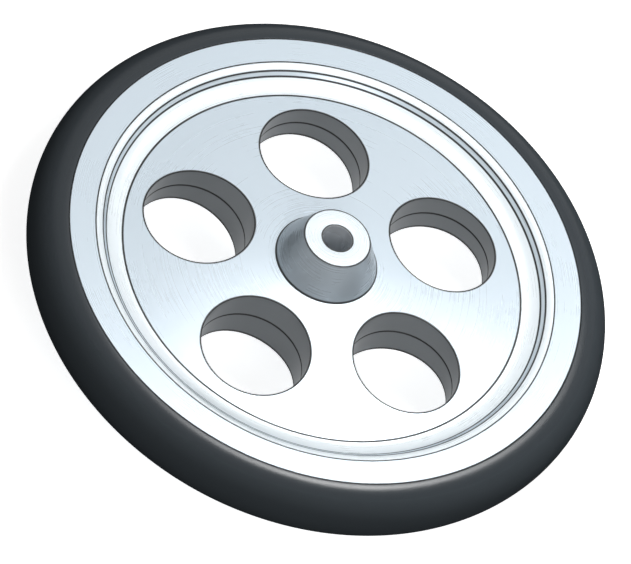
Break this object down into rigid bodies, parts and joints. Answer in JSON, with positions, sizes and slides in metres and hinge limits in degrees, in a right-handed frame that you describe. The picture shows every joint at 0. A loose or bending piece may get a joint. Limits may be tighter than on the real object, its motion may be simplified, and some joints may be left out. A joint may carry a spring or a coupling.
{
  "type": "model aircraft wheel",
  "caption": "Model aircraft wheel: a treadless rubber tyre with a half-round crown on a split, web-type aluminium hub with round lightening holes and tapered bosses round an axle bore.",
  "frame": {"origin": "the wheel's centre: where the axle bore's axis crosses the plane between the hub halves", "axes": "+Z along the axle bore towards the outboard face, and +X through the middle of one lightening hole"},
  "size_m": [0.08, 0.08, 0.0198],
  "materials": {
    "hub": "satin, fine turned",
    "tyre": "smooth satin, no tread"
  },
  "bodies": {
    "root": {"outboard_hub_half": "hub", "inboard_hub_half": "hub", "tyre": "tyre"}
  },
  "joints": []
}
